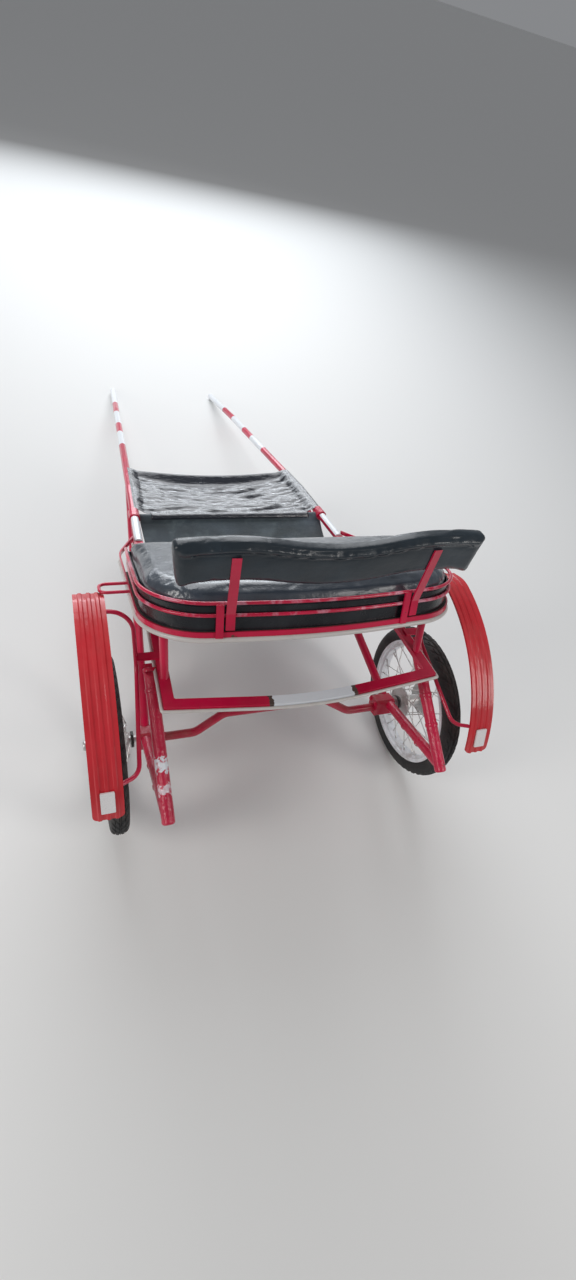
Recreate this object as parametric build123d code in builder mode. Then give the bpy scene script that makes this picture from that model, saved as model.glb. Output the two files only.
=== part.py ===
"""Light two-wheeled horse cart of welded steel tube, parked nose-down on its shaft tips.

Everything is drawn with the seat level, as the cart is driven: +X right, +Y to the horse, +Z up,
the origin under the middle of the axle by the drawn height of the axle line. Each finished piece is
then turned about the axle line until the shaft tips touch the ground. Lengths are in millimetres.
"""

import math
import os

from build123d import *

# Gaps between welded or seated neighbours, and round the turning hub
seat_gap = 0.3
running_gap = 0.3

# Wheels, and the height at which the axle line is drawn
axle_height = 305
tyre_radius = 293
tyre_width = 60
tyre_wall = 6
tyre_shoulder_half = 23
tyre_shoulder_taper = 0.8
tyre_crown_drop = 8
tyre_bead_cover = 1.5
rim_radius = 240
rim_width = 50
rim_wall = 3
rim_drop = 20
rim_flange_height = 10
rim_seat_slope = 2
rim_well_half = 10
half_track = 568
hub_length = 112
hub_radius = 22
hub_boss_step = 3
flange_radius = 61
flange_thickness = 5
flange_inset = 8
spoke_diameter = 3.6
spokes_per_family = 9
spoke_sweep = 60
spoke_edge_margin = 6
outside_lift = 3.8
outside_rim_offset = 9
inside_rim_offset = 4
nipple_seat = 1.3
nipple_diameter = 6.5
nipple_length = 16

# Stub axles, with their dust discs and caps
axle_diameter = 24
dust_disc_diameter = 50
dust_disc_thickness = 9
dust_disc_gap = 7
cap_diameter = 34
cap_length = 26
cap_gap = 5
cap_round = 6

# Arched axle beam and the brackets at its ends
beam_diameter = 30
beam_rise = 64
beam_drop = 7
beam_flat_half = 190
beam_low_half = 290
beam_bend_radius = 60
beam_lap = 10
bracket_standoff = 37
bracket_length = 76
bracket_depth = 60
bracket_height = 66
bracket_chamfer = 8

# Shafts, from the heel under the seat by the bend and the crook to the tip
shaft_diameter = 32
shaft_heel_inset = 166
shaft_heel_x = half_track - shaft_heel_inset
shaft_heel_y = 484
shaft_heel_z = 818.5
shaft_bend_taper = 18
shaft_bend_x = shaft_heel_x - shaft_bend_taper
shaft_bend_y = 900
shaft_bend_z = 914
shaft_crook_x = 332
shaft_crook_y = 1952
shaft_crook_z = 1088
shaft_tip_x = 307
shaft_tip_y = 2415
shaft_tip_z = 1152
shaft_bend_radius = 700
shaft_crook_radius = 3000
crossbar_diameter = 25
crossbar_y = 680
crossbar_drop = 10
collar_diameter = 42
collar_length = 52

# Step frame, the U of flat-lying rectangular tube that carries the seat
step_width = 32
step_height = 16
step_rear_y = -262
step_rear_z = 602
step_corner_flare = 18
step_corner_x = shaft_heel_x + step_corner_flare
step_bow = 50
step_corner_radius = 6
step_bow_radius = 1500
step_trim_diameter = 10
heel_gap = 2

# Braces, arms and legs of the two side frames
side_frame_inset = 18
brace_diameter = 32
brace_foot_rise = 12
brace_foot_forward = 12
brace_top_y = 940
arm_diameter = 36
arm_front_rise = 12
arm_rear_forward = 16
leg_diameter = 38
leg_top_y = -100
leg_top_outset = 30
leg_round = 8
foot_inset = 10
foot_y = -400
foot_z = 297

# Seat
seat_wheel_gap = 86
seat_half_width = half_track - seat_wheel_gap
seat_corner_y = -285
seat_bow = 50
seat_corner_radius = 185
seat_bow_radius = 1800
seat_front_y = 150
band_bottom = 824
band_height = 15
band_thickness = 5
band_front_y = 330
band_end_lap = 18
band_front_radius = 200
piping_diameter = 15
piping_setback = 30
rail_diameter = 10
rail_lower_z = 885
rail_lower_front_y = 268
rail_upper_z = 919
rail_upper_front_y = 304
rail_bend_radius = 25
strap_offset = -27
strap_width = 20
strap_thickness = 5
strap_lap = 1
bearer_width = 30
bearer_height = 20
bearer_front_y = 60
bearer_rear_y = -170
post_diameter = 25
pan_thickness = 10
pan_drop = 1
skirt_wall = 6
skirt_height = 68
cushion_height = 106
cushion_edge = 28

# Backrest
back_lean = 18
back_end_inset = 52
back_half_width = seat_half_width - back_end_inset
back_low_z = 952
back_low_rise = 30
back_high_z = 1077
back_hump = 31
back_hump_inset = 130
back_hump_x = back_half_width - back_hump_inset
back_low_inset = 12
back_thickness = 46
back_corner = 16
back_edge = 14
bar_side_inset = 212
bar_x = seat_half_width - bar_side_inset
bar_width = 24
bar_thickness = 6
bar_foot_gap = 8
bar_knee_z = 892
bar_top_z = 1060

# Fenders
fender_outset = 34
fender_width = 85
fender_wall = 3
fender_radius = 540
fender_centre_y = 174
fender_centre_z = 340
fender_crown_angle = 62
fender_crown_radius = 120
fender_crown_run = 35
fender_lip = 8
fender_foot_drop = 14
fender_foot_corner = 16
fender_rib_width = 14
fender_rib_height = 3
fender_rib_pitch = 23
reflector_width = 38
reflector_height = 66
reflector_thickness = 5
reflector_corner = 3
reflector_angle = 5

# Stays and rod loops beside the fenders
stay_diameter = 13
stay_inset = 74
stay_waist_y = -85
stay_waist_z = 632
stay_top_fall = 6
stay_top_lean = 5
stay_foot_angle = 9.4
stay_foot_flare = 27
stay_foot_forward = 32
stay_top_radius = 70
stay_waist_radius = 70
stay_foot_radius = 45
stay_plate_width = 30
stay_plate_thickness = 5
loop_diameter = 10
loop_depth = 64
loop_inset = 32
loop_set_forward = 15
loop_bend_radius = 22

# Vinyl apron between the shafts and the net under the feet
apron_front_y = 1090
apron_rear_y = 705
apron_front_sag = 40
apron_bend_sag = 24
apron_rear_sag = 14
apron_thickness = 4
net_sag = 95
net_thickness = 5
net_edge_gap = 20
net_half_width = shaft_heel_x - step_width / 2 - net_edge_gap

os.makedirs("parts", exist_ok=True)

# The parked attitude follows from the shaft tips, which are round ends of the tube's radius
tip_lift = shaft_tip_z - axle_height
tip_distance = math.hypot(shaft_tip_y, tip_lift)
tip_drop = tyre_radius - shaft_diameter / 2
park_angle = math.degrees(math.atan2(tip_lift, shaft_tip_y) + math.asin(tip_drop / tip_distance))
axle_to_ground = Location((0, 0, -axle_height))
park_turn = Location((0, 0, 0), (-park_angle, 0, 0))
parked = Location((0, 0, tyre_radius)) * park_turn * axle_to_ground

finished = []


def save(piece, name):
    """Put a finished piece in its parked place, name it and keep it."""
    piece.part.move(parked)
    piece.part.label = name
    finished.append(piece.part)


def rod(points, diameter, bends=None, mode=Mode.ADD):
    """A round bar along straight runs joined by arcs."""
    with BuildLine() as run:
        if bends is None:
            Polyline(*points)
        else:
            FilletPolyline(*points, radius=bends)
    with BuildSketch(Plane(origin=run.line @ 0, z_dir=run.line % 0)) as section:
        Circle(diameter / 2)
    sweep(section.sketch, path=run.line, mode=mode)


def on_line(start, end, y):
    """The point of a straight line in space at a given Y."""
    return start + (end - start) * ((y - start.Y) / (end.Y - start.Y))


def save_pair(right, stem):
    """Write a right-hand piece and its mirror image."""
    with BuildPart() as left:
        mirror(right.part, about=Plane.YZ)
    save(left, f"{stem}_left")
    save(right, f"{stem}_right")


# Shafts, with a round end at the tip
shaft_heel = Vector(shaft_heel_x, shaft_heel_y, shaft_heel_z)
shaft_bend = Vector(shaft_bend_x, shaft_bend_y, shaft_bend_z)
shaft_crook = Vector(shaft_crook_x, shaft_crook_y, shaft_crook_z)
shaft_tip = Vector(shaft_tip_x, shaft_tip_y, shaft_tip_z)
shaft_points = [shaft_heel, shaft_bend, shaft_crook, shaft_tip]
shaft_bends = [shaft_bend_radius, shaft_crook_radius]
heel_direction = (shaft_bend - shaft_heel).normalized()
with BuildPart() as shaft:
    rod(shaft_points, shaft_diameter, shaft_bends)
    with Locations(Location(Plane(origin=shaft_tip, z_dir=shaft_tip - shaft_crook))):
        Sphere(shaft_diameter / 2, arc_size1=0)
save_pair(shaft, "shaft")

# Crossbar, ending in a collar round each shaft
crossbar_on_shaft = on_line(shaft_bend, shaft_heel, crossbar_y)
collar_plane = Plane(origin=crossbar_on_shaft, z_dir=heel_direction)
crossbar_z = crossbar_on_shaft.Z - crossbar_drop
with BuildPart() as crossbar:
    with BuildSketch(collar_plane):
        Circle(collar_diameter / 2)
    extrude(amount=collar_length / 2, both=True)
    with BuildSketch(Plane.YZ):
        with Locations((crossbar_y, crossbar_z)):
            Circle(crossbar_diameter / 2)
    extrude(amount=crossbar_on_shaft.X)
    with BuildSketch(collar_plane):
        Circle(shaft_diameter / 2 + seat_gap)
    extrude(amount=collar_length, both=True, mode=Mode.SUBTRACT)
    mirror(about=Plane.YZ)
save(crossbar, "crossbar")

# Step frame, drawn in the sloping plane of its side members
step_slope = (shaft_heel_z - step_rear_z) / (shaft_heel_y - step_rear_y)
step_angle = math.atan(step_slope)
step_plane = Plane(
    origin=(0, step_rear_y, step_rear_z),
    x_dir=(1, 0, 0),
    z_dir=(0, -math.sin(step_angle), math.cos(step_angle)),
)
step_run = (shaft_heel_y - step_rear_y) / math.cos(step_angle) - heel_gap
side_way = Vector(step_corner_x - shaft_heel_x, -step_run).normalized()
side_outward = Vector(-side_way.Y, side_way.X)
rear_way = Vector(-step_corner_x, -step_bow).normalized()
rear_outward = Vector(-rear_way.Y, rear_way.X)


def step_line(outset, corner_radius):
    """The step frame's U, moved outwards by an outset, from the left heel to the right one."""
    heel = Vector(shaft_heel_x, step_run) + side_outward * outset
    spread = (side_outward + rear_outward) / (1 + side_outward.dot(rear_outward))
    corner = Vector(step_corner_x, 0) + spread * outset
    bow_radius = step_bow_radius + outset
    return FilletPolyline(
        (-heel.X, heel.Y),
        (-corner.X, corner.Y),
        (0, -step_bow + outset / rear_outward.Y),
        (corner.X, corner.Y),
        (heel.X, heel.Y),
        radius=[corner_radius, bow_radius, corner_radius],
    )


with BuildPart() as step_frame:
    with BuildSketch(step_plane):
        with BuildLine() as frame_lines:
            outer_edge = step_line(step_width / 2, step_corner_radius)
            inner_edge = step_line(-step_width / 2, step_corner_radius)
            Line(outer_edge @ 0, inner_edge @ 0)
            Line(outer_edge @ 1, inner_edge @ 1)
        make_face(frame_lines.edges())
    extrude(amount=step_height / 2, both=True)
save(step_frame, "step_frame")

# White edging along the outer side of the step frame, level with its underside
trim_outset = (step_width + step_trim_diameter) / 2 + seat_gap
trim_drop = -(step_height - step_trim_diameter) / 2
with BuildPart() as step_trim:
    with BuildLine(step_plane.offset(trim_drop)) as trim_line:
        step_line(trim_outset, step_corner_radius)
    with BuildSketch(Plane(origin=trim_line.line @ 0, z_dir=trim_line.line % 0)):
        Circle(step_trim_diameter / 2)
    sweep()
save(step_trim, "step_trim")


def side_member_x(y):
    """X of the middle of the step frame's right side member at a given Y."""
    return on_line(
        Vector(step_corner_x, step_rear_y), Vector(shaft_heel_x, shaft_heel_y), y
    ).X


# Axle beam, arched between two boxed brackets
beam_low_z = axle_height - beam_drop
hub_inner_x = half_track - hub_length / 2
hub_outer_x = half_track + hub_length / 2
bracket_outer_x = hub_inner_x - bracket_standoff
bracket_inner_x = bracket_outer_x - bracket_length
with BuildPart() as axle_beam:
    beam_points = [
        (-bracket_inner_x - beam_lap, 0, beam_low_z),
        (-beam_low_half, 0, beam_low_z),
        (-beam_flat_half, 0, beam_low_z + beam_rise),
        (beam_flat_half, 0, beam_low_z + beam_rise),
        (beam_low_half, 0, beam_low_z),
        (bracket_inner_x + beam_lap, 0, beam_low_z),
    ]
    rod(beam_points, beam_diameter, beam_bend_radius)
    with BuildSketch(Plane.YZ.offset(bracket_inner_x)):
        with Locations((0, axle_height)):
            bracket = Rectangle(bracket_depth, bracket_height)
        chamfer(bracket.vertices(), bracket_chamfer)
    extrude(amount=bracket_length)
    mirror(about=Plane.YZ)
save(axle_beam, "axle_beam")

# Stub axle with its dust disc and the cap on its outer end
with BuildPart() as stub_axle:
    with BuildSketch(Plane.YZ.offset(bracket_outer_x + seat_gap)):
        with Locations((0, axle_height)):
            Circle(axle_diameter / 2)
    extrude(amount=hub_outer_x + cap_length - bracket_outer_x)
    with BuildSketch(Plane.YZ.offset(hub_inner_x - dust_disc_gap - dust_disc_thickness)):
        with Locations((0, axle_height)):
            Circle(dust_disc_diameter / 2)
    extrude(amount=dust_disc_thickness)
    with BuildSketch(Plane.YZ.offset(hub_outer_x + cap_gap)):
        with Locations((0, axle_height)):
            Circle(cap_diameter / 2)
    extrude(amount=cap_length)
    cap_face = stub_axle.faces().sort_by(Axis.X)[-1]
    fillet(cap_face.edges(), cap_round)
save_pair(stub_axle, "stub_axle")

# Brace from the bracket up to the shaft
side_frame_x = bracket_outer_x - side_frame_inset
brace_foot = Vector(side_frame_x, brace_foot_forward, axle_height + brace_foot_rise)
brace_top = on_line(shaft_crook, shaft_bend, brace_top_y)
bracket_middle = (bracket_inner_x + bracket_outer_x) / 2
with BuildPart() as brace:
    rod([brace_foot, brace_top], brace_diameter)
    rod(shaft_points, shaft_diameter + 2 * seat_gap, shaft_bends, mode=Mode.SUBTRACT)
    with Locations((bracket_middle, 0, axle_height)):
        Box(
            bracket_length + 2 * seat_gap,
            bracket_depth + 2 * seat_gap,
            bracket_height + 2 * seat_gap,
            mode=Mode.SUBTRACT,
        )
save_pair(brace, "brace")

# Rear leg from the step frame down to the foot
leg_foot = Vector(side_frame_x - foot_inset, foot_y, foot_z)
leg_top_z = step_rear_z + step_slope * (leg_top_y - step_rear_y)
leg_top = Vector(step_corner_x + leg_top_outset, leg_top_y, leg_top_z)
with BuildPart() as rear_leg:
    rod([leg_foot, leg_top], leg_diameter)
    split(bisect_by=step_plane.offset(-step_height / 2 - seat_gap), keep=Keep.BOTTOM)
    foot_face = rear_leg.faces().filter_by(GeomType.PLANE).sort_by(Axis.Z)[0]
    fillet(foot_face.edges(), leg_round)
save_pair(rear_leg, "rear_leg")

# Trailing arm from the bracket back to the foot
arm_front = Vector(side_frame_x, -bracket_depth / 2 - seat_gap, axle_height + arm_front_rise)
arm_rear = on_line(leg_foot, leg_top, foot_y + arm_rear_forward)
below_foot = leg_foot - (leg_top - leg_foot).normalized() * leg_diameter
with BuildPart() as trailing_arm:
    rod([arm_front, arm_rear], arm_diameter)
    split(bisect_by=Plane.XZ.offset(bracket_depth / 2 + seat_gap), keep=Keep.TOP)
    rod([below_foot, leg_top], leg_diameter + 2 * seat_gap, mode=Mode.SUBTRACT)
save_pair(trailing_arm, "trailing_arm")


def seat_points(outset, front):
    """Plan points of the seat's U, from the left front round the back to the right front."""
    half = seat_half_width + outset
    return [
        (-half, front),
        (-half, seat_corner_y - outset),
        (0, seat_corner_y - seat_bow - outset),
        (half, seat_corner_y - outset),
        (half, front),
    ]


seat_bends = [seat_corner_radius, seat_bow_radius, seat_corner_radius]


def seat_outline(inset):
    """The seat's closed outline, drawn into the open sketch."""
    with BuildLine() as outline:
        u_shape = FilletPolyline(
            *seat_points(-inset, seat_front_y - inset),
            radius=[bend - inset for bend in seat_bends],
        )
        Line(u_shape @ 1, u_shape @ 0)
    make_face(outline.edges())


# Red band round the seat with two straps up its back, its front ends lying against the shafts
band_end_y = shaft_heel_y + band_end_lap
band_end_x = on_line(shaft_bend, shaft_heel, band_end_y).X
band_end_x += (shaft_diameter + band_thickness) / 2 + seat_gap
band_face = rail_diameter / 2 + seat_gap
band_outset = band_face - band_thickness / 2
bow_slope = seat_bow / seat_half_width
bow = math.atan(bow_slope)
band_plan = seat_points(band_outset, band_front_y)
band_plan = [(-band_end_x, band_end_y)] + band_plan + [(band_end_x, band_end_y)]
band_bends = [band_front_radius] + seat_bends + [band_front_radius]


def seat_back_y(x, outset):
    """Y along the straight of the seat's back, at a distance out from the rails' line."""
    return seat_corner_y - seat_bow + bow_slope * abs(x) - outset / math.cos(bow)


with BuildPart() as seat_band:
    with BuildLine(Plane.XY.offset(band_bottom + band_height / 2)) as band_line:
        FilletPolyline(*band_plan, radius=band_bends)
    with BuildSketch(
        Plane(origin=band_line.line @ 0, x_dir=(0, 0, 1), z_dir=band_line.line % 0)
    ):
        Rectangle(band_height, band_thickness)
    sweep()
    for side in (-1, 1):
        strap_x = side * bar_x + strap_offset
        strap_y = seat_back_y(strap_x, band_face)
        strap_turn = math.copysign(math.degrees(bow), strap_x)
        with Locations(Location((strap_x, strap_y, band_bottom), (0, 0, strap_turn))):
            Box(
                strap_width,
                strap_thickness,
                rail_upper_z - band_bottom,
                align=(Align.CENTER, Align.MAX, Align.MIN),
            )
            Box(
                strap_width,
                2 * strap_lap,
                band_height,
                align=(Align.CENTER, Align.CENTER, Align.MIN),
            )
save(seat_band, "seat_band")

# White piping under the band
piping_z = band_bottom - piping_diameter / 2 - seat_gap
piping_front_y = band_front_y - piping_setback
piping_points = [(x, y, piping_z) for x, y in seat_points(band_outset, piping_front_y)]
with BuildPart() as seat_piping:
    rod(piping_points, piping_diameter, seat_bends)
save(seat_piping, "seat_piping")

# Two thin rails round the seat, turned down onto the band at the front
band_top = band_bottom + band_height
for level, rail_z, rail_front_y in (
    ("lower", rail_lower_z, rail_lower_front_y),
    ("upper", rail_upper_z, rail_upper_front_y),
):
    flat_points = seat_points(0, rail_front_y)
    rail_points = [(x, y, rail_z) for x, y in flat_points]
    front_left = (flat_points[0][0], flat_points[0][1], band_top + seat_gap)
    front_right = (flat_points[-1][0], flat_points[-1][1], band_top + seat_gap)
    with BuildPart() as seat_rail:
        rod(
            [front_left] + rail_points + [front_right],
            rail_diameter,
            [rail_bend_radius] + seat_bends + [rail_bend_radius],
        )
    save(seat_rail, f"seat_rail_{level}")

# Bearers under the pan, each on two posts from the step frame
pan_bottom = band_top - pan_thickness - pan_drop
bearer_top = pan_bottom - seat_gap
bearer_inset = piping_diameter / 2 + seat_gap - band_outset
for bearer_name, bearer_y in (("front", bearer_front_y), ("rear", bearer_rear_y)):
    post_x = side_member_x(bearer_y)
    with BuildPart() as seat_bearer:
        with BuildSketch(Plane.XY.offset(bearer_top)):
            seat_outline(bearer_inset)
            with Locations((0, bearer_y)):
                Rectangle(2 * seat_half_width, bearer_width, mode=Mode.INTERSECT)
        extrude(amount=-bearer_height)
        with Locations((-post_x, bearer_y, step_rear_z), (post_x, bearer_y, step_rear_z)):
            Cylinder(
                post_diameter / 2,
                bearer_top - bearer_height / 2 - step_rear_z,
                align=(Align.CENTER, Align.CENTER, Align.MIN),
            )
        split(bisect_by=step_plane.offset(step_height / 2 + seat_gap), keep=Keep.TOP)
    save(seat_bearer, f"seat_bearer_{bearer_name}")

# Board under the cushion
pan_inset = band_thickness / 2 - band_outset + seat_gap
with BuildPart() as seat_pan:
    with BuildSketch(Plane.XY.offset(pan_bottom)):
        seat_outline(pan_inset)
    extrude(amount=pan_thickness)
save(seat_pan, "seat_pan")

# Dark lining inside the rails
skirt_inset = rail_diameter / 2 + seat_gap
pan_top = pan_bottom + pan_thickness
with BuildPart() as seat_skirt:
    with BuildSketch(Plane.XY.offset(pan_top + seat_gap)):
        seat_outline(skirt_inset)
    extrude(amount=skirt_height)
    with BuildSketch(Plane.XY.offset(pan_top)):
        seat_outline(skirt_inset + skirt_wall)
    extrude(amount=2 * skirt_height, mode=Mode.SUBTRACT)
save(seat_skirt, "seat_skirt")

# Seat cushion
with BuildPart() as seat_cushion:
    with BuildSketch(Plane.XY.offset(pan_top + seat_gap)):
        seat_outline(skirt_inset + skirt_wall + seat_gap)
    extrude(amount=cushion_height)
    cushion_top = seat_cushion.faces().sort_by(Axis.Z)[-1]
    fillet(cushion_top.edges(), cushion_edge)
save(seat_cushion, "seat_cushion")

# Backrest bars against the back of the rails
lean = math.radians(back_lean)
bar_foot_z = band_top + bar_foot_gap
bar_set_back = (bar_top_z - bar_knee_z) * math.tan(lean)
knee_cut = bar_thickness * math.tan(lean / 2)
bar_outer = Vector(math.cos(lean), math.sin(lean)) * bar_thickness
for side, sign in (("left", -1), ("right", 1)):
    with BuildPart() as backrest_bracket:
        bar_plane = Plane(
            origin=(sign * bar_x, seat_back_y(bar_x, band_face), 0),
            x_dir=(sign * math.sin(bow), -math.cos(bow), 0),
            z_dir=(-math.cos(bow), -sign * math.sin(bow), 0),
        )
        with BuildSketch(bar_plane):
            with BuildLine():
                Polyline(
                    (0, bar_foot_z),
                    (0, bar_knee_z),
                    (bar_set_back, bar_top_z),
                    (bar_set_back + bar_outer.X, bar_top_z + bar_outer.Y),
                    (bar_thickness, bar_knee_z + knee_cut),
                    (bar_thickness, bar_foot_z),
                    close=True,
                )
            make_face()
        extrude(amount=bar_width / 2, both=True)
    save(backrest_bracket, f"backrest_bracket_{side}")

# Backrest pad, with a wavy top and bottom edge, leaning back against the bars
bar_front_y = seat_back_y(bar_x, band_face) + bar_width / 2 * math.sin(bow)
pad_back_y = bar_front_y - (back_low_z - bar_knee_z) * math.tan(lean) * math.cos(bow) + 2 * seat_gap
pad_plane = Plane(
    origin=(0, pad_back_y, back_low_z),
    x_dir=(1, 0, 0),
    z_dir=(0, -math.cos(lean), -math.sin(lean)),
)


def wave(middle, rise, crest_x, end_x):
    """Half of a wavy edge: up from the middle to a crest, then over it to the end."""
    turn = 2 * math.atan(rise / crest_x)
    radius = crest_x / math.sin(turn) / 2
    rising = JernArc((0, middle), (1, 0), radius, math.degrees(turn))
    fall = turn + math.asin((end_x - crest_x) / radius)
    return rising, JernArc(rising @ 1, rising % 1, radius, -math.degrees(fall))


pad_height = (back_high_z - back_low_z) / math.cos(lean)
with BuildPart() as backrest_pad:
    with BuildSketch(pad_plane):
        with BuildLine():
            upper_arcs = wave(pad_height, back_hump, back_hump_x, back_half_width)
            lower_arcs = wave(0, back_low_rise, back_hump_x, back_half_width - back_low_inset)
            Line(upper_arcs[1] @ 1, lower_arcs[1] @ 1)
            Line((0, pad_height), (0, 0))
        half_pad = make_face()
        end_corners = half_pad.vertices().filter_by(lambda vertex: vertex.X > back_hump_x)
        fillet(end_corners, back_corner)
        mirror(about=Plane.YZ)
    extrude(amount=-back_thickness)
    flat_faces = backrest_pad.faces().filter_by(GeomType.PLANE).group_by(SortBy.AREA)[-1]
    fillet(flat_faces.edges(), back_edge)
save(backrest_pad, "backrest_pad")

# Fender, pressed sheet with three ribs and turned-in lips, swept over its arc and crown
fender_x = half_track + fender_outset
fender_plane = Plane.YZ.offset(fender_x)
foot_turn = math.degrees(math.asin(fender_foot_drop / fender_radius))
rib_middles = [-fender_rib_pitch, 0, fender_rib_pitch]


def fender_face(depth):
    """Points along one face of the pressed sheet, with its ribs standing outwards."""
    points = []
    for middle in rib_middles:
        points += [
            (middle - fender_rib_width / 2, depth),
            (middle - fender_rib_width / 4, depth - fender_rib_height),
            (middle + fender_rib_width / 4, depth - fender_rib_height),
            (middle + fender_rib_width / 2, depth),
        ]
    return points


with BuildPart() as fender:
    with BuildLine(fender_plane) as fender_line:
        rising = CenterArc(
            (fender_centre_y, fender_centre_z),
            fender_radius,
            180 + foot_turn,
            -foot_turn - fender_crown_angle,
        )
        crown = JernArc(rising @ 1, rising % 1, fender_crown_radius, fender_crown_angle - 90)
        Line(crown @ 1, crown @ 1 + (crown % 1) * fender_crown_run)
    half_width = fender_width / 2
    outer_face = [(-half_width, fender_lip), (-half_width, 0)] + fender_face(0)
    outer_face += [(half_width, 0), (half_width, fender_lip)]
    inner_edge = half_width - fender_wall
    inner_face = [(-inner_edge, fender_lip), (-inner_edge, fender_wall)] + fender_face(fender_wall)
    inner_face += [(inner_edge, fender_wall), (inner_edge, fender_lip)]
    with BuildSketch(
        Plane(origin=fender_line.line @ 0, x_dir=(1, 0, 0), z_dir=fender_line.line % 0)
    ):
        with BuildLine():
            Polyline(*outer_face, *reversed(inner_face), close=True)
        make_face()
    sweep()
    foot_out = Vector(0, -(rising % 0).Z, (rising % 0).Y)
    with BuildSketch(Plane(origin=rising @ 0, x_dir=(1, 0, 0), z_dir=foot_out)):
        Rectangle(2 * fender_width, 2 * fender_foot_corner)
        RectangleRounded(
            fender_width,
            4 * fender_foot_corner,
            fender_foot_corner,
            align=(Align.CENTER, Align.MIN),
            mode=Mode.SUBTRACT,
        )
    extrude(amount=2 * fender_lip, both=True, mode=Mode.SUBTRACT)
crown_top_z = (crown @ 1).Z + fender_rib_height
save_pair(fender, "fender")

# Reflector on the fender's foot
reflector_turn = math.radians(180 - reflector_angle)
reflector_out = Vector(0, math.cos(reflector_turn), math.sin(reflector_turn))
fender_centre = Vector(fender_x, fender_centre_y, fender_centre_z)
reflector_seat = fender_centre + reflector_out * (fender_radius + fender_rib_height + seat_gap)
with BuildPart() as reflector:
    with BuildSketch(Plane(origin=reflector_seat, x_dir=(1, 0, 0), z_dir=reflector_out)):
        RectangleRounded(reflector_width, reflector_height, reflector_corner)
    extrude(amount=reflector_thickness)
save_pair(reflector, "reflector")

# D-shaped stay from the fender's crown, past a plate on the step frame, to the fender's foot
fender_inner_x = fender_x - fender_width / 2 - seat_gap
stay_reach = fender_radius - fender_lip / 2


def on_fender(turn):
    """A point beside the fender's inner lip, at an angle up from its foot."""
    bearing = math.radians(180 - turn)
    return Vector(
        fender_inner_x + stay_diameter,
        fender_centre_y + stay_reach * math.cos(bearing),
        fender_centre_z + stay_reach * math.sin(bearing),
    )


stay_x = fender_inner_x - stay_inset
stay_top = on_fender(fender_crown_angle)
stay_low = on_fender(stay_foot_angle)
stay_points = [
    stay_top,
    Vector(stay_x + stay_top_lean, stay_top.Y, stay_top.Z - stay_top_fall),
    Vector(stay_x, stay_waist_y, stay_waist_z),
    Vector(stay_x + stay_foot_flare, stay_low.Y + stay_foot_forward, stay_low.Z),
    stay_low,
]
plate_inner_x = side_member_x(stay_waist_y)
with BuildPart() as fender_stay:
    rod(stay_points, stay_diameter, [stay_top_radius, stay_waist_radius, stay_foot_radius])
    with BuildSketch(step_plane.offset(step_height / 2 + seat_gap)):
        with Locations((plate_inner_x, (stay_waist_y - step_rear_y) / math.cos(step_angle))):
            Rectangle(
                stay_x - plate_inner_x,
                stay_plate_width,
                align=(Align.MIN, Align.CENTER),
            )
    extrude(amount=stay_plate_thickness)
    split(bisect_by=Plane.YZ.offset(fender_inner_x), keep=Keep.BOTTOM)
save_pair(fender_stay, "fender_stay")

# Rod loop from the seat band out over the fender's crown
loop_z = crown_top_z + loop_diameter / 2 + seat_gap
loop_inner_x = seat_half_width + rail_diameter / 2 + seat_gap
loop_outer_x = fender_x - loop_inset
loop_rear_y = (crown @ 1).Y + loop_set_forward
with BuildPart() as fender_loop:
    rod(
        [
            (loop_inner_x, loop_rear_y, loop_z),
            (loop_outer_x, loop_rear_y, loop_z),
            (loop_outer_x, loop_rear_y + loop_depth, loop_z),
            (loop_inner_x, loop_rear_y + loop_depth, loop_z),
        ],
        loop_diameter,
        loop_bend_radius,
    )
save_pair(fender_loop, "fender_loop")

# Apron of vinyl between the shafts, sagging most at its front edge
apron_stations = [
    (on_line(shaft_crook, shaft_bend, apron_front_y), apron_front_sag),
    (shaft_bend, apron_bend_sag),
    (on_line(shaft_bend, shaft_heel, apron_rear_y), apron_rear_sag),
]
with BuildPart() as front_apron:
    for anchor, sag in apron_stations:
        apron_half = anchor.X - shaft_diameter / 2 - 2 * seat_gap
        with BuildSketch(Plane.XZ.offset(-anchor.Y)):
            with BuildLine():
                lower = ThreePointArc(
                    (-apron_half, anchor.Z),
                    (0, anchor.Z - sag),
                    (apron_half, anchor.Z),
                )
                upper = ThreePointArc(
                    (-apron_half, anchor.Z + apron_thickness),
                    (0, anchor.Z + apron_thickness - sag),
                    (apron_half, anchor.Z + apron_thickness),
                )
                Line(lower @ 0, upper @ 0)
                Line(lower @ 1, upper @ 1)
            make_face()
    loft(ruled=True)
save(front_apron, "front_apron")

# Net under the feet, hung from the crossbar to the front of the seat board
net_front = (crossbar_y, crossbar_z)
net_rear = (seat_front_y - net_thickness, pan_bottom + pan_thickness / 2)
net_low = ((net_front[0] + net_rear[0]) / 2, net_rear[1] - net_sag)
with BuildPart() as floor_net:
    with BuildSketch(Plane.YZ):
        with BuildLine() as net_line:
            ThreePointArc(net_rear, net_low, net_front)
            offset(amount=net_thickness, side=Side.RIGHT)
        make_face()
    extrude(amount=net_half_width, both=True)
    split(bisect_by=Plane.XZ.offset(-seat_front_y - seat_gap), keep=Keep.BOTTOM)
    rod(
        [(-shaft_heel_x, *net_front), (shaft_heel_x, *net_front)],
        crossbar_diameter + 2 * seat_gap,
        mode=Mode.SUBTRACT,
    )
save(floor_net, "floor_net")

# Wheels, drawn about the axle line as half-sections of radius over width
wheel_axis = Axis((0, 0, axle_height), (1, 0, 0))
wheel_plane = Plane.XY.offset(axle_height)


def turned(outline):
    """Turn a half-section, given as width and radius about the wheel's middle, about the axle."""
    with BuildSketch(wheel_plane) as half_section:
        with BuildLine() as section_line:
            Polyline(*[(half_track + x, radius) for x, radius in outline], close=True)
        make_face(section_line.edges())
    revolve(half_section.sketch, axis=wheel_axis)


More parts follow.
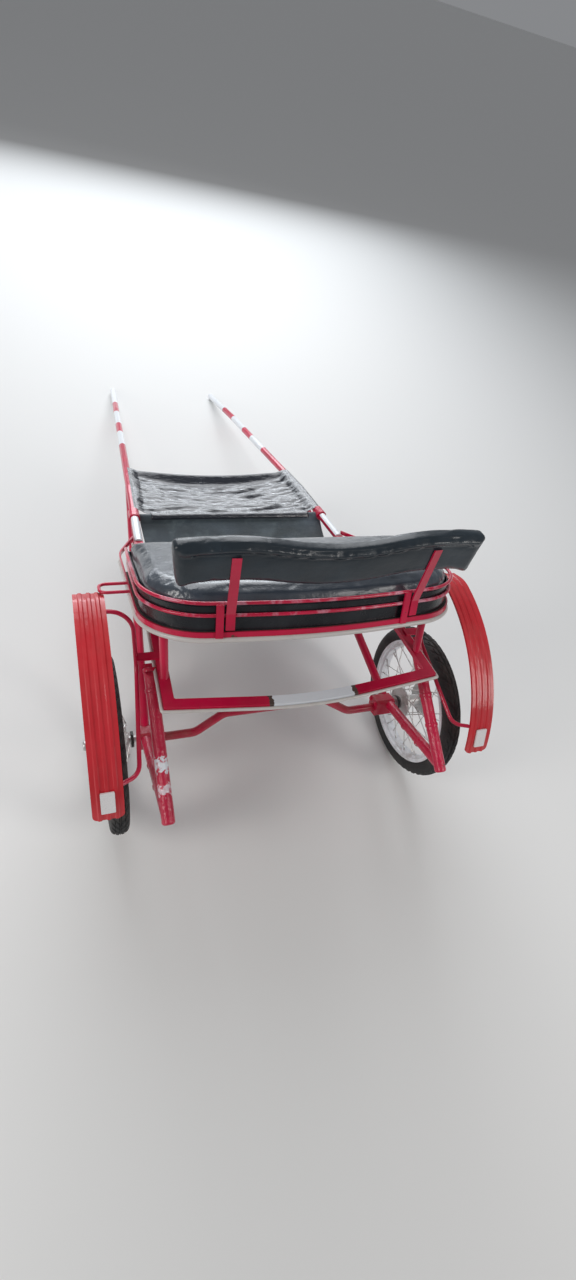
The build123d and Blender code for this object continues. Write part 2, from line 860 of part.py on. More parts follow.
# Hub with a flange near each end, bored for the stub axle
hub_half = hub_length / 2
flange_outer = hub_half - flange_inset
flange_inner = flange_outer - flange_thickness
bore_radius = axle_diameter / 2 + running_gap
boss_radius = hub_radius + hub_boss_step
with BuildPart() as hub:
    turned([
        (-hub_half, bore_radius),
        (-hub_half, boss_radius),
        (-flange_outer, boss_radius),
        (-flange_outer, flange_radius),
        (-flange_inner, flange_radius),
        (-flange_inner, hub_radius),
        (flange_inner, hub_radius),
        (flange_inner, flange_radius),
        (flange_outer, flange_radius),
        (flange_outer, boss_radius),
        (hub_half, boss_radius),
        (hub_half, bore_radius),
    ])
save_pair(hub, "hub")

# Rim, a rolled channel with a dropped middle
rim_half = rim_width / 2
seat_radius = rim_radius - rim_flange_height
well_radius = rim_radius - rim_drop
with BuildPart() as rim:
    turned([
        (-rim_half, rim_radius),
        (-rim_half + rim_wall, rim_radius),
        (-rim_half + rim_wall, seat_radius),
        (-rim_well_half - rim_wall, seat_radius - rim_seat_slope),
        (-rim_well_half, well_radius),
        (rim_well_half, well_radius),
        (rim_well_half + rim_wall, seat_radius - rim_seat_slope),
        (rim_half - rim_wall, seat_radius),
        (rim_half - rim_wall, rim_radius),
        (rim_half, rim_radius),
        (rim_half, seat_radius - rim_wall),
        (rim_well_half + 2 * rim_wall, seat_radius - rim_wall - rim_seat_slope),
        (rim_well_half + rim_wall, well_radius - rim_wall),
        (-rim_well_half - rim_wall, well_radius - rim_wall),
        (-rim_well_half - 2 * rim_wall, seat_radius - rim_wall - rim_seat_slope),
        (-rim_half, seat_radius - rim_wall),
    ])
save_pair(rim, "rim")

# Tyre, an arched wall on two beads
bead_half = rim_half - rim_wall - 2 * seat_gap
bead_radius = seat_radius + 2 * seat_gap
bead_top = rim_radius + tyre_bead_cover


def tyre_arch(inset):
    """One face of the tyre's wall, from bead to bead over the tread."""
    side_half = tyre_width / 2 - inset
    crown_radius = tyre_radius - inset
    shoulder = (tyre_shoulder_half - inset * tyre_shoulder_taper, crown_radius - tyre_crown_drop)
    bead_x = bead_half - inset
    middle_radius = (bead_top + shoulder[1]) / 2
    points = [
        (half_track - bead_x, bead_top),
        (half_track - side_half, middle_radius),
        (half_track - shoulder[0], shoulder[1]),
        (half_track, crown_radius),
        (half_track + shoulder[0], shoulder[1]),
        (half_track + side_half, middle_radius),
        (half_track + bead_x, bead_top),
    ]
    left_bead = Line((half_track - bead_x, bead_radius), points[0])
    right_bead = Line((half_track + bead_x, bead_radius), points[-1])
    for first in (0, 2, 4):
        ThreePointArc(*points[first:first + 3])
    return left_bead @ 0, right_bead @ 0


with BuildPart() as tyre:
    with BuildSketch(wheel_plane):
        with BuildLine():
            outer_ends = tyre_arch(0)
            inner_ends = tyre_arch(tyre_wall)
            Line(outer_ends[0], inner_ends[0])
            Line(outer_ends[1], inner_ends[1])
        make_face()
    revolve(axis=wheel_axis)
save_pair(tyre, "tyre")

# Laced spokes: nine to a family, two families crossing on each flange, none touching another
spoke_root_radius = flange_radius - spoke_edge_margin
spoke_end_radius = well_radius - rim_wall - nipple_seat
flange_middle = (flange_inner + flange_outer) / 2
beside_flange = (flange_thickness + spoke_diameter) / 2 + seat_gap
spoke_pitch = 360 / spokes_per_family


def around_axle(x, radius, turn):
    """A point at a radius and turn about the axle."""
    bearing = math.radians(turn)
    return Vector(
        half_track + x,
        radius * math.cos(bearing),
        axle_height + radius * math.sin(bearing),
    )


def spoke_family(side, lift, rim_offset, sweep_turn, first_turn):
    """Spokes of one flange face, all leaning the same way."""
    for number in range(spokes_per_family):
        root_turn = first_turn + number * spoke_pitch
        root = around_axle(side * (flange_middle + lift), spoke_root_radius, root_turn)
        end = around_axle(side * rim_offset, spoke_end_radius, root_turn + sweep_turn)
        rod([root, end], spoke_diameter)
        nipple_start = end + (root - end).normalized() * nipple_length
        rod([nipple_start, end], nipple_diameter)


with BuildPart() as spokes:
    for side, side_turn in ((-1, 0), (1, spoke_pitch / 4)):
        outside_face = beside_flange + outside_lift
        spoke_family(side, outside_face, outside_rim_offset, spoke_sweep, side_turn)
        inside_turn = side_turn + spoke_pitch / 2
        spoke_family(side, -beside_flange, inside_rim_offset, -spoke_sweep, inside_turn)
save_pair(spokes, "spokes")

# The stored origin is on the ground under the middle of the whole cart
rear_y = min(piece.bounding_box().min.Y for piece in finished)
front_y = max(piece.bounding_box().max.Y for piece in finished)
to_origin = Location((0, -(rear_y + front_y) / 2, 0))
for piece in finished:
    piece.move(to_origin)
    export_step(piece, f"parts/{piece.label}.step")
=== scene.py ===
"""Looks of the two-wheeled horse cart: paint, vinyl, net, tyres, tape and small fastenings."""

import math

import bpy
from mathutils import Matrix, Vector, noise
from mathutils.bvhtree import BVHTree


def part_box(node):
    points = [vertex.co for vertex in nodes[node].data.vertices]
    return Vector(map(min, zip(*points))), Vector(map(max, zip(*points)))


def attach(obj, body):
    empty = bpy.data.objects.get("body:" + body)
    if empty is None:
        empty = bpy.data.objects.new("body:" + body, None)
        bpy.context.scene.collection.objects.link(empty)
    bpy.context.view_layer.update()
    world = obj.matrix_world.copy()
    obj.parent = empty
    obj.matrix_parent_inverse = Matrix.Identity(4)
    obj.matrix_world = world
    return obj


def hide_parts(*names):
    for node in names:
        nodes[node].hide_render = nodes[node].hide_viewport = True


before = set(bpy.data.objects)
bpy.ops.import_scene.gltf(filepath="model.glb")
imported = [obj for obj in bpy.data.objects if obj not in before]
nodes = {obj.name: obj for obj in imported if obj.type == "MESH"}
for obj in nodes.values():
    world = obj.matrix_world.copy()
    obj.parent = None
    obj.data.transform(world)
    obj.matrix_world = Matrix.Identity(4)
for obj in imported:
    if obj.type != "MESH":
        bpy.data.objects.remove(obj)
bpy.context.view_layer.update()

# The cart is modelled level and parked by a turn about the axle; points below are given level, in
# metres, with the axle line at AXLE_HEIGHT
AXLE_HEIGHT = 0.305
PARK_TURN = math.radians(-25.5407)
PHOTO_TURN = math.radians(-17.5)
hub_low, hub_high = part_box("hub_right")
AXLE = (hub_low + hub_high) / 2
AXLE.x = 0
AXLE_UP = Matrix.Translation((0, 0, -AXLE_HEIGHT))
PARK = Matrix.Translation(AXLE) @ Matrix.Rotation(PARK_TURN, 4, "X") @ AXLE_UP
SIDES = {"left": -1, "right": 1}
WHEEL_MIDDLE = 0.568


def parked(x, y, z):
    """A point of the level cart in its parked place."""
    return PARK @ Vector((x, y, z))


def level_of(point):
    """A parked point in its place on the level cart."""
    return PARK.inverted() @ point


# Camera, fitted to the photograph with the cart's attitude there, and turned with it
CAMERA_TURN = (-20.2, 11.0, -1.27)
CAMERA_PLACE = (-0.636, -1.887, 0.982)
FOCAL_PIXELS, FRAME_PIXELS, SENSOR_WIDTH = 577, 1280, 36


def make_camera():
    yaw, pitch, roll = (math.radians(angle) for angle in CAMERA_TURN)
    forward = Vector((-math.sin(yaw) * math.cos(pitch), math.cos(yaw) * math.cos(pitch), -math.sin(pitch)))
    right = Vector((math.cos(yaw), math.sin(yaw), 0))
    up = right.cross(forward)
    rolled_right = math.cos(roll) * right + math.sin(roll) * up
    rolled_up = -math.sin(roll) * right + math.cos(roll) * up
    place = Matrix((rolled_right, rolled_up, -forward)).transposed().to_4x4()
    x, y, z = CAMERA_PLACE
    place.translation = Vector((x, y, z - AXLE_HEIGHT))
    turn = Matrix.Rotation(PARK_TURN + PHOTO_TURN, 4, "X")
    data = bpy.data.cameras.new("camera")
    data.sensor_width = SENSOR_WIDTH
    data.lens = SENSOR_WIDTH * FOCAL_PIXELS / FRAME_PIXELS
    data.clip_start = 0.02
    camera = bpy.data.objects.new("camera", data)
    camera.matrix_world = Matrix.Translation(AXLE) @ turn @ place
    bpy.context.collection.objects.link(camera)
    bpy.context.scene.camera = camera


make_camera()


# Materials
GRAIN_SCALE, GRAIN_DEPTH = 420, 0.0004


class Shader:
    """A node tree with one Principled shader, and short calls to add to it."""

    def __init__(self, name, colour, roughness, metallic=0.0, coat=0.0, coat_roughness=0.05, sheen=0.0):
        self.material = bpy.data.materials.new(name)
        self.material.use_nodes = True
        self.material.diffuse_color = (*colour, 1)
        self.tree = self.material.node_tree
        self.shader = self.tree.nodes["Principled BSDF"]
        self.put("Base Color", (*colour, 1))
        self.put("Roughness", roughness)
        self.put("Metallic", metallic)
        self.put("Coat Weight", coat)
        self.put("Coat Roughness", coat_roughness)
        self.put("Sheen Weight", sheen)
        self.bump_out = None

    def put(self, socket, value):
        self.shader.inputs[socket].default_value = value

    def node(self, kind, links=None):
        made = self.tree.nodes.new(kind)
        for socket, source in (links or {}).items():
            self.tree.links.new(source, made.inputs[socket])
        return made

    def place(self, scale=(1, 1, 1), turn=(0, 0, 0)):
        """Object coordinates, which are the cart's own, stretched and turned."""
        where = self.node("ShaderNodeTexCoord")
        mapping = self.node("ShaderNodeMapping", {"Vector": where.outputs["Object"]})
        mapping.inputs["Scale"].default_value = scale
        mapping.inputs["Rotation"].default_value = turn
        return mapping.outputs["Vector"]

    def noise(self, scale, detail=4.0, roughness=0.55, stretch=(1, 1, 1), turn=(0, 0, 0)):
        made = self.node("ShaderNodeTexNoise", {"Vector": self.place(stretch, turn)})
        made.inputs["Scale"].default_value = scale
        made.inputs["Detail"].default_value = detail
        made.inputs["Roughness"].default_value = roughness
        return made.outputs["Fac"]

    def ramp(self, source, low, high):
        """From 0 at a low value to 1 at a high one."""
        made = self.node("ShaderNodeMapRange", {"Value": source})
        made.inputs["From Min"].default_value = low
        made.inputs["From Max"].default_value = high
        return made.outputs["Result"]

    def math(self, operation, a, b):
        made = self.node("ShaderNodeMath")
        made.operation = operation
        for socket, value in zip(made.inputs, (a, b)):
            if isinstance(value, (int, float)):
                socket.default_value = value
            else:
                self.tree.links.new(value, socket)
        return made.outputs[0]

    def mix(self, factor, colour):
        """Mixes another colour over the base colour so far."""
        made = self.node("ShaderNodeMix")
        made.data_type = "RGBA"
        if isinstance(factor, (int, float)):
            made.inputs[0].default_value = factor
        else:
            self.tree.links.new(factor, made.inputs[0])
        base = self.shader.inputs["Base Color"]
        if base.is_linked:
            self.tree.links.new(base.links[0].from_socket, made.inputs[6])
        else:
            made.inputs[6].default_value = base.default_value
        made.inputs[7].default_value = (*colour, 1)
        self.tree.links.new(made.outputs[2], base)
        return self

    def blotches(self, colour, amount, scale, detail, low, high, roughness=0.55, stretch=(1, 1, 1)):
        """Mixes a colour in by patches with soft edges."""
        patches = self.ramp(self.noise(scale, detail, roughness, stretch), low, high)
        return self.mix(self.math("MULTIPLY", patches, amount), colour)

    def rough(self, factor, low, high):
        """Roughness from low to high by a factor."""
        made = self.node("ShaderNodeMapRange", {"Value": factor})
        made.inputs["To Min"].default_value = low
        made.inputs["To Max"].default_value = high
        self.tree.links.new(made.outputs["Result"], self.shader.inputs["Roughness"])
        return self

    def bump(self, height, distance, strength=1.0, coat=False):
        """Adds relief by a texture, to a depth in metres."""
        made = self.node("ShaderNodeBump", {"Height": height})
        made.inputs["Distance"].default_value = distance
        made.inputs["Strength"].default_value = strength
        if self.bump_out is not None:
            self.tree.links.new(self.bump_out, made.inputs["Normal"])
        self.bump_out = made.outputs["Normal"]
        self.tree.links.new(self.bump_out, self.shader.inputs["Normal"])
        if coat:
            self.tree.links.new(self.bump_out, self.shader.inputs["Coat Normal"])
        return self

    def vinyl_grain(self, strength):
        """The fine pebbles pressed into vinyl."""
        cells = self.node("ShaderNodeTexVoronoi", {"Vector": self.place()})
        cells.inputs["Scale"].default_value = GRAIN_SCALE
        return self.bump(cells.outputs["Distance"], GRAIN_DEPTH, strength)

    def dust(self, amount=0.35, colour=(0.36, 0.29, 0.22)):
        """Dust in patches, thickest where the surface faces up."""
        normal = self.node("ShaderNodeSeparateXYZ", {0: self.node("ShaderNodeNewGeometry").outputs["Normal"]})
        upward = self.ramp(normal.outputs["Z"], -0.2, 1.0)
        patches = self.ramp(self.noise(9, 6, 0.65), 0.42, 0.75)
        return self.mix(self.math("MULTIPLY", self.math("MULTIPLY", upward, patches), amount), colour)

    def chips(self, colour=(0.10, 0.045, 0.03), low=0.70, high=0.73, scale=55):
        """Small chips and rust spots, kept to a few patches."""
        spots = self.ramp(self.noise(scale, 3, 0.6), low, high)
        zones = self.ramp(self.noise(4, 2), 0.45, 0.62)
        return self.mix(self.math("MULTIPLY", spots, zones), colour)


def distance_along(shader, way, origin):
    """Distance of a shaded point from an origin along a direction, both given as parked."""
    dot = shader.node("ShaderNodeVectorMath", {0: shader.node("ShaderNodeTexCoord").outputs["Object"]})
    dot.operation = "DOT_PRODUCT"
    dot.inputs[1].default_value = way
    return shader.math("SUBTRACT", dot.outputs["Value"], origin.dot(way))


def level_along(shader, direction, origin=(0, 0, 0)):
    """The same distance, with direction and origin given level."""
    way = (parked(*direction) - parked(0, 0, 0)).normalized()
    return distance_along(shader, way, parked(*origin))


def between(shader, value, low, high):
    """1 where a value lies between two others."""
    above = shader.math("GREATER_THAN", value, low)
    below = shader.math("LESS_THAN", value, high)
    return shader.math("MULTIPLY", above, below)


def along_shaft(shader, start, end):
    """1 between two distances back from the shaft tip, measured along the shafts."""
    tip = parked(*SHAFT_TIP)
    back = (parked(*SHAFT_CROOK) - tip).normalized()
    return between(shader, distance_along(shader, back, tip), start, end)


RED = (0.62, 0.007, 0.060)
DEEP_RED = (0.32, 0.004, 0.026)
TAPE = (0.80, 0.84, 0.89)
GRIME = (0.10, 0.07, 0.06)
WHITE = (0.80, 0.83, 0.87)
BARE_METAL = (0.62, 0.62, 0.61)
# Points of the shafts' middle line, level, as seen from the side
SHAFT_TIP = (0, 2.415, 1.152)
SHAFT_CROOK = (0, 0.900, 0.914)


def gloss_red(name):
    """The frame's red gloss paint, uneven, chipped and dusty."""
    shader = Shader(name, RED, 0.30, coat=0.65, coat_roughness=0.06)
    shader.put("Specular IOR Level", 0.2)
    shader.blotches(DEEP_RED, 0.6, 6, 3, 0.35, 0.7)
    shader.chips().dust(0.12, (0.34, 0.20, 0.17))
    shader.rough(shader.noise(14, 5, 0.6), 0.2, 0.42)
    shader.bump(shader.noise(130, 3), 0.0008, 0.4, coat=True)
    shader.bump(shader.noise(22, 4), 0.004, 0.35, coat=True)
    return shader


def finish_material(shader, *names):
    """Gives a node or piece one material in every slot."""
    for name in names:
        data = nodes[name].data if isinstance(name, str) else name.data
        data.materials.clear()
        data.materials.append(shader.material)


def both(stem):
    """The left and right node of a pair."""
    return f"{stem}_left", f"{stem}_right"


frame_red = gloss_red("frame_red")
finish_material(
    frame_red, "seat_band", "crossbar", "seat_bearer_front",
    "seat_bearer_rear", *both("brace"), *both("fender_stay"),
    *both("fender_loop"), *both("backrest_bracket"),
)


# Legs and arms, wrapped in creased red tape, with two bands of worn white tape on the left leg
LEG_FOOT, LEG_TOP = (0.447, -0.400, 0.297), (0.450, -0.100, 0.649)
LEG_BANDS = ((0.080, 0.112, 0.7), (0.146, 0.186, 1.0))


def creased_red(name):
    shader = gloss_red(name)
    return shader.bump(shader.noise(48, 4, 0.65, (1, 1, 0.45), (0.7, 0, 0)), 0.006, 0.7, coat=True)


wrapped_red = creased_red("wrapped_red")
finish_material(wrapped_red, *both("trailing_arm"), "rear_leg_right")
patched_red = creased_red("patched_red")
leg_way = (Vector(LEG_TOP) - Vector(LEG_FOOT)).normalized()
up_leg = level_along(patched_red, (0, leg_way.y, leg_way.z), LEG_FOOT)
ragged = patched_red.math("MULTIPLY", patched_red.math("SUBTRACT", patched_red.noise(90, 4), 0.5), 0.05)
up_leg = patched_red.math("ADD", up_leg, ragged)
worn = patched_red.ramp(patched_red.noise(60, 5, 0.7), 0.38, 0.52)
for patch_low, patch_high, cover in LEG_BANDS:
    patch = patched_red.math("MULTIPLY", between(patched_red, up_leg, patch_low, patch_high), worn)
    patched_red.mix(patched_red.math("MULTIPLY", patch, cover), TAPE)
finish_material(patched_red, "rear_leg_left")

# Step frame, with white tape round the middle of its rear bar, grimy and ragged at both ends
REAR_BAR_Y = -0.20
GRIME_HALF, TAPE_HALF = 0.140, 0.127
step_paint = gloss_red("step_red")
step_rear = step_paint.math("LESS_THAN", level_along(step_paint, (0, 1, 0)), REAR_BAR_Y)
step_across = level_along(step_paint, (1, 0, 0))
step_ragged = step_paint.math("MULTIPLY", step_paint.math("SUBTRACT", step_paint.noise(70, 3), 0.5), 0.02)
step_x = step_paint.math("ADD", step_across, step_ragged)
for tape_half, tape_colour in ((GRIME_HALF, GRIME), (TAPE_HALF, TAPE)):
    taped = between(step_paint, step_x, -tape_half, tape_half)
    step_paint.mix(step_paint.math("MULTIPLY", taped, step_rear), tape_colour)
finish_material(step_paint, "step_frame")

# Shafts: white bands, and a white strip along the top beside the seat
SHAFT_BANDS = ((-0.02, 0.322), (0.505, 0.705), (0.840, 1.025))
STRIP_START, STRIP_END = 1.79, 1.97
shaft_paint = gloss_red("shaft_red")
for band_start, band_end in SHAFT_BANDS:
    shaft_paint.mix(along_shaft(shaft_paint, band_start, band_end), WHITE)
strip_up = level_along(shaft_paint, (0, -0.2236, 0.9747), (0, 0.484, 0.8185))
strip_top = between(shaft_paint, strip_up, 0.0075, 0.05)
strip_length = along_shaft(shaft_paint, STRIP_START, STRIP_END)
shaft_paint.mix(shaft_paint.math("MULTIPLY", strip_top, strip_length), WHITE)
finish_material(shaft_paint, *both("shaft"))

beam_paint = gloss_red("beam_red")
beam_paint.mix(0.45, DEEP_RED).dust(0.35)
finish_material(beam_paint, "axle_beam")

fender_paint = Shader("fender_red", (0.60, 0.018, 0.030), 0.42, coat=0.6, coat_roughness=0.16)
fender_paint.put("Specular IOR Level", 0.3)
fender_paint.blotches((0.38, 0.008, 0.010), 0.45, 7, 4, 0.4, 0.7, stretch=(3, 1, 1))
fender_paint.chips((0.22, 0.02, 0.018), scale=80).dust(0.10, (0.42, 0.24, 0.20))
fender_paint.rough(fender_paint.noise(20, 5), 0.30, 0.55)
fender_paint.bump(fender_paint.noise(24, 4, stretch=(1.6, 1, 1)), 0.004, 0.4, coat=True)
finish_material(fender_paint, *both("fender"))

rim_paint = Shader("rim_white", WHITE, 0.35, coat=0.3)
rim_paint.blotches((0.33, 0.29, 0.24), 0.6, 14, 6, 0.5, 0.72, 0.65)
rim_paint.chips((0.16, 0.07, 0.04), 0.66, 0.70, 40)
rim_paint.rough(rim_paint.noise(30, 4), 0.28, 0.6).bump(rim_paint.noise(90, 4), 0.0008, 0.3)
finish_material(rim_paint, *both("rim"))

trim_plastic = Shader("trim_white", (0.56, 0.53, 0.51), 0.40, coat=0.15)
trim_plastic.blotches((0.42, 0.37, 0.33), 0.5, 26, 6, 0.5, 0.75, 0.65)
trim_plastic.rough(trim_plastic.noise(40, 3), 0.25, 0.5).bump(trim_plastic.noise(120, 3), 0.0005, 0.3)
finish_material(trim_plastic, "seat_piping", "step_trim")

steel = Shader("hub_steel", BARE_METAL, 0.32, metallic=0.9)
steel.blotches((0.20, 0.17, 0.14), 0.55, 35, 6, 0.5, 0.7, 0.65)
steel.rough(steel.noise(50, 4), 0.22, 0.55).bump(steel.noise(200, 3), 0.0004, 0.3)
finish_material(steel, *both("stub_axle"))

hub_paint = Shader("hub_paint", BARE_METAL, 0.38, metallic=0.35, coat=0.3)
hub_paint.blotches((0.24, 0.21, 0.18), 0.6, 30, 6, 0.48, 0.7, 0.65)
hub_paint.rough(hub_paint.noise(50, 4), 0.3, 0.55).bump(hub_paint.noise(150, 3), 0.0004, 0.3)
finish_material(hub_paint, *both("hub"))

disc_black = Shader("disc_black", (0.014, 0.013, 0.013), 0.45, coat=0.2)
disc_black.mix(disc_black.ramp(disc_black.noise(60, 4), 0.5, 0.7), (0.05, 0.042, 0.036))
disc_black.rough(disc_black.noise(70, 3), 0.35, 0.6)

spoke_steel = Shader("spoke_steel", (0.70, 0.70, 0.69), 0.25, metallic=0.95)
spoke_steel.blotches((0.28, 0.20, 0.15), 0.5, 70, 5, 0.52, 0.7)
spoke_steel.rough(spoke_steel.noise(60, 3), 0.2, 0.5)
finish_material(spoke_steel, *both("spokes"))

lens = Shader("reflector_lens", (0.86, 0.84, 0.84), 0.12, coat=1.0)
lens_cells = lens.node("ShaderNodeTexVoronoi", {"Vector": lens.place()})
lens_cells.inputs["Scale"].default_value = 320
lens.mix(lens.math("MULTIPLY", lens_cells.outputs["Distance"], 0.35), (0.55, 0.52, 0.54))
lens.bump(lens_cells.outputs["Distance"], 0.0015, 0.5)
finish_material(lens, *both("reflector"))

board = Shader("board", (0.075, 0.05, 0.038), 0.7)
board.mix(board.ramp(board.noise(5, 6, 0.6, (1, 14, 14)), 0.4, 0.7), (0.035, 0.024, 0.02))
board.bump(board.noise(9, 6, 0.6, (1, 12, 12)), 0.0015, 0.5)
finish_material(board, "seat_pan")

black_vinyl = Shader("black_vinyl", (0.012, 0.013, 0.016), 0.30, coat=0.35, coat_roughness=0.12)
black_vinyl.put("Specular IOR Level", 0.3)
black_vinyl.blotches((0.03, 0.033, 0.038), 0.6, 11, 5, 0.45, 0.7)
black_vinyl.rough(black_vinyl.noise(40, 5, 0.6), 0.14, 0.36)
black_vinyl.vinyl_grain(0.25)
black_vinyl.bump(black_vinyl.noise(26, 5, 0.6), 0.004, 0.35, coat=True)
finish_material(black_vinyl, "seat_skirt")


# Pieces
def mesh_piece(name, points, faces, smooth=True):
    data = bpy.data.meshes.new(name)
    data.from_pydata([tuple(point) for point in points], [], faces)
    data.update()
    piece = bpy.data.objects.new(name, data)
    bpy.context.collection.objects.link(piece)
    for face in data.polygons:
        face.use_smooth = smooth
    return piece


def grid_piece(name, point, across, along, closed=False):
    """A sheet of points given by two shares from 0 to 1; closed joins its last row to its first."""
    rows = along if closed else along + 1
    points = [point(i / across, j / along) for j in range(rows) for i in range(across + 1)]
    width = across + 1
    faces = []
    for j in range(along):
        for i in range(across):
            a = j * width + i
            b = ((j + 1) % rows) * width + i
            faces.append((a, a + 1, b + 1, b))
    return mesh_piece(name, points, faces)


def apply_modifiers(piece):
    """Freezes a piece's modifiers into its mesh, shaded smooth."""
    graph = bpy.context.evaluated_depsgraph_get()
    frozen = bpy.data.meshes.new_from_object(piece.evaluated_get(graph))
    piece.modifiers.clear()
    piece.data = frozen
    for face in frozen.polygons:
        face.use_smooth = True


def thicken(piece, thickness, offset=0):
    """Gives a sheet a thickness: on both sides of it, or with offset 1 on the side its normals face."""
    solid = piece.modifiers.new("thickness", "SOLIDIFY")
    solid.thickness = thickness
    solid.offset = offset
    apply_modifiers(piece)


def smooth_step(value, low, high):
    """From 0 at a low value to 1 at a high one, level at both."""
    t = min(max((value - low) / (high - low), 0), 1)
    return t * t * (3 - 2 * t)


def rounded(corners, radii, steps=10):
    """Points along a line with each inner corner rounded to a radius."""
    points = [Vector(corners[0])]
    for before, corner, after, radius in zip(corners, corners[1:], corners[2:], radii):
        before, corner, after = Vector(before), Vector(corner), Vector(after)
        back, ahead = (before - corner).normalized(), (after - corner).normalized()
        half = back.angle(ahead) / 2
        centre = corner + (back + ahead).normalized() * radius / math.sin(half)
        first = corner + back * radius / math.tan(half) - centre
        last = corner + ahead * radius / math.tan(half) - centre
        axis, angle = first.cross(last), first.angle(last)
        turns = [Matrix.Rotation(angle * step / steps, 3, axis) for step in range(steps + 1)]
        points += [centre + turn @ first for turn in turns]
    points.append(Vector(corners[-1]))
    return points


def tube(name, points, radius, sides=16):
    """A round bar along points in space, closed at both ends."""
    rings = []
    up = Vector((0, 0, 1))
    for index, point in enumerate(points):
        ahead = points[min(index + 1, len(points) - 1)] - points[max(index - 1, 0)]
        ahead.normalize()
        across = ahead.cross(up)
        if across.length < 0.1:
            across = ahead.cross(Vector((0, 1, 0)))
        across.normalize()
        lift = across.cross(ahead)
        rings.append([
            point + (across * math.cos(turn) + lift * math.sin(turn)) * radius
            for turn in (2 * math.pi * k / sides for k in range(sides))
        ])
    vertices = [vertex for ring in rings for vertex in ring]
    faces = []
    for row in range(len(rings) - 1):
        for k in range(sides):
            a, b = row * sides + k, row * sides + (k + 1) % sides
            faces.append((a, b, b + sides, a + sides))
    faces.append(tuple(reversed(range(sides))))
    faces.append(tuple(range(len(vertices) - sides, len(vertices))))
    return mesh_piece(name, vertices, faces)


# Seat rails, whose front ends run in and down to the top of the seat band
rail_red_painted_highlight = gloss_red("rail_red_painted_highlight")
# The pale pink patches mixed into the rails' red are painted highlights
rail_red_painted_highlight.blotches((0.66, 0.36, 0.46), 0.65, 24, 4, 0.50, 0.66, 0.6, (1, 0.4, 1))
SEAT_HALF, SEAT_BACK, SEAT_BOW = 0.482, -0.285, 0.050
BAND_TOP = 0.839
RAIL_RADIUS = 0.005
RAIL_BENDS = (0.25, 0.40, 0.185, 1.8, 0.185, 0.40, 0.25)


def seat_rail(level, height, turn_y):
    """One rail round the seat at a height, straight at the sides as far forward as turn_y."""
    half = [
        (SEAT_HALF - 0.020, turn_y + 0.25, BAND_TOP + 0.0045),
        (SEAT_HALF - 0.010, turn_y + 0.14, height - 0.028),
        (SEAT_HALF, turn_y, height),
        (SEAT_HALF, SEAT_BACK, height),
        (0, SEAT_BACK - SEAT_BOW, height),
    ]
    corners = half + [(-x, y, z) for x, y, z in reversed(half[:-1])]
    line = rounded(corners, RAIL_BENDS, 14)
    rail = tube(f"seat_rail_{level}_bar", [PARK @ point for point in line], RAIL_RADIUS)
    finish_material(rail_red_painted_highlight, rail)
    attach(rail, "cart")
    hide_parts(f"seat_rail_{level}")


seat_rail("lower", 0.885, 0.03)
seat_rail("upper", 0.919, 0.08)


# Apron: vinyl stretched between the shafts, creased across, with a raised lip along its front edge.
# Its point function takes two shares, u from left to right and v from front to rear
SHAFT_LINE = [Vector((0.332, 1.952, 1.088)), Vector((0.384, 0.900, 0.914)), Vector((0.402, 0.484, 0.8185))]
APRON_FRONT, APRON_REAR = 1.090, 0.705


def on_shaft(y):
    """The middle of the right shaft at a level Y."""
    a, b = (SHAFT_LINE[0], SHAFT_LINE[1]) if y > SHAFT_LINE[1].y else (SHAFT_LINE[1], SHAFT_LINE[2])
    return a + (b - a) * ((y - a.y) / (b.y - a.y))


CROSSBAR = (0.680, 0.8535)
BAR_WRAP, SHAFT_WRAP = 0.0165, 0.0175
APRON_THICKNESS = 0.0018
# Sag at the front and how much less it is at the rear; the lip as a share of the length, and its rise
SAG_FRONT, SAG_EASE = 0.042, 0.030
LIP_LENGTH, LIP_RISE = 0.075, 0.036
# Share of the half width where the sheet meets the shaft, and share of the length before the flap
SHAFT_SHARE = 0.90
APRON_FLAP = 0.90


def over_bar(turn, radius):
    """Level Y and Z on a circle round the crossbar, from its front side over the top."""
    return CROSSBAR[0] + radius * math.cos(turn), CROSSBAR[1] + radius * math.sin(turn)


def apron_line(v, across):
    """Level Y and Z along the apron, at a share of the sag, down to the flap over the crossbar."""
    flat = min(v / APRON_FLAP, 1)
    y = APRON_FRONT + (APRON_REAR - APRON_FRONT) * flat
    centre = on_shaft(y)
    sag = (SAG_FRONT - SAG_EASE * flat) * across
    lip = smooth_step(v, 0.0, LIP_LENGTH)
    rise = LIP_RISE * across ** 0.6 * (1 - lip) - 0.012 * across * (1 - flat) ** 0.6
    return centre, y, centre.z + 0.002 - sag + rise


